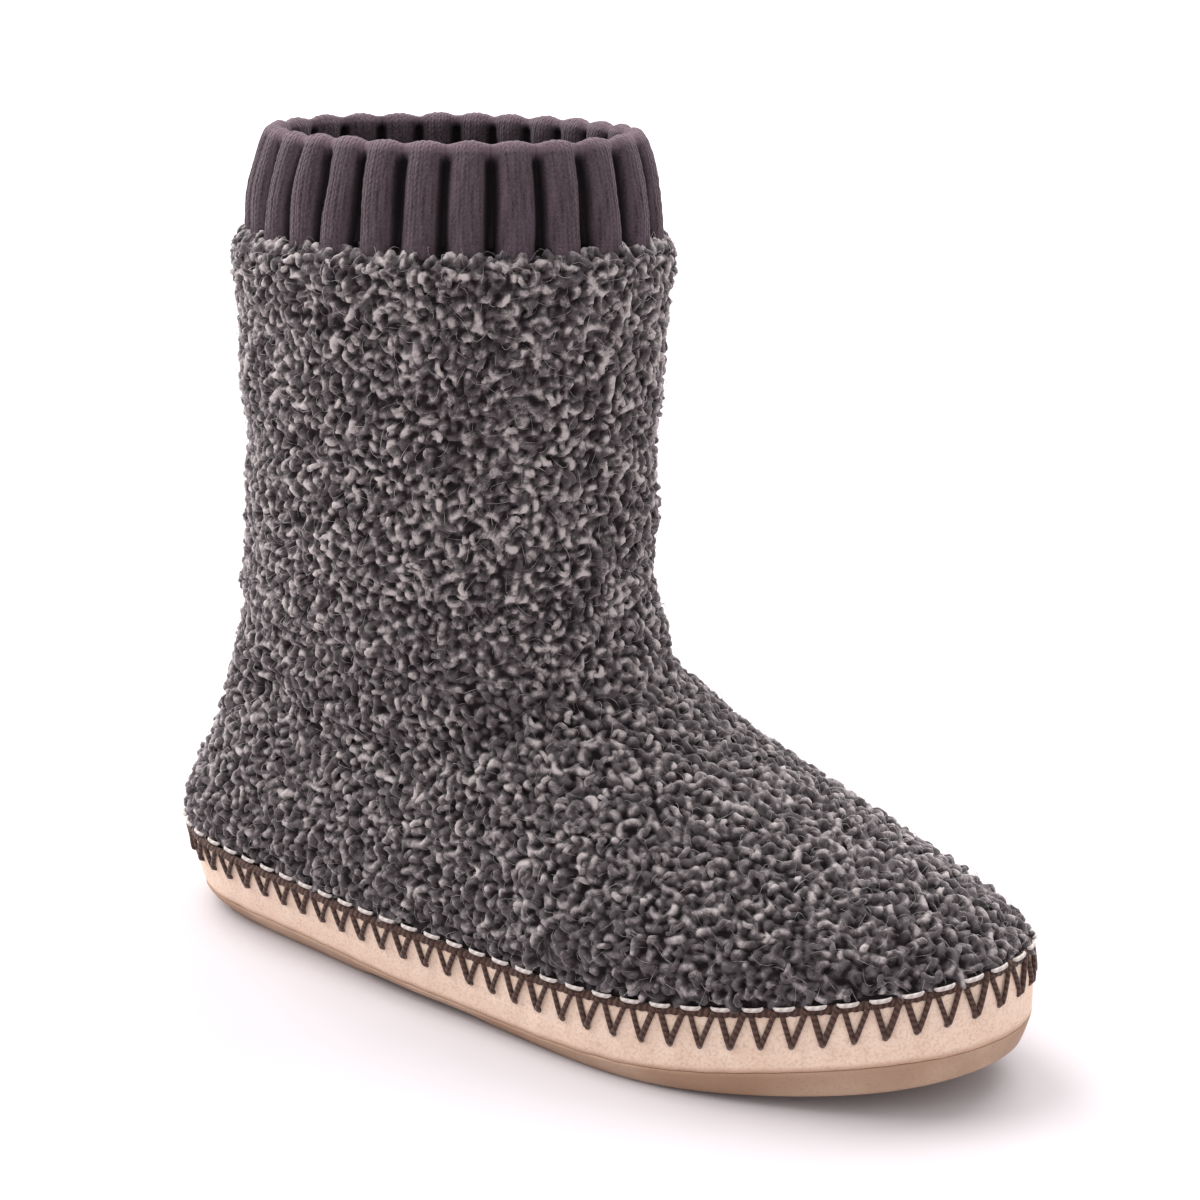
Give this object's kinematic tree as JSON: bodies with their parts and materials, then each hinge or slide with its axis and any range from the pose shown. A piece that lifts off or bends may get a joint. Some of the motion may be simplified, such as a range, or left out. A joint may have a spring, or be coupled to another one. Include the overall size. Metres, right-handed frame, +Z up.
{
  "type": "slipper boot",
  "caption": "Ankle-high slipper boot with a boucle-knit upper, folded rib-knit collar, suede-wrapped edge and flat outsole.",
  "frame": {"origin": "on the floor, under the middle of the bounding box", "axes": "+X from heel to toe, +Y from the outer side of the foot to the inner side, +Z up from the floor"},
  "size_m": [0.2768, 0.1108, 0.2453],
  "materials": {
    "outsole": "matt, light tan",
    "rand": "napped suede, pinkish beige, stitched in dark brown",
    "insole": "brushed fleece over foam",
    "upper": "boucle knit, charcoal with light grey flecks",
    "cuff": "rib knit, dark plum grey"
  },
  "bodies": {
    "root": {"outsole": "outsole", "rand": "rand", "insole": "insole", "upper": "upper", "cuff": "cuff"}
  },
  "joints": []
}
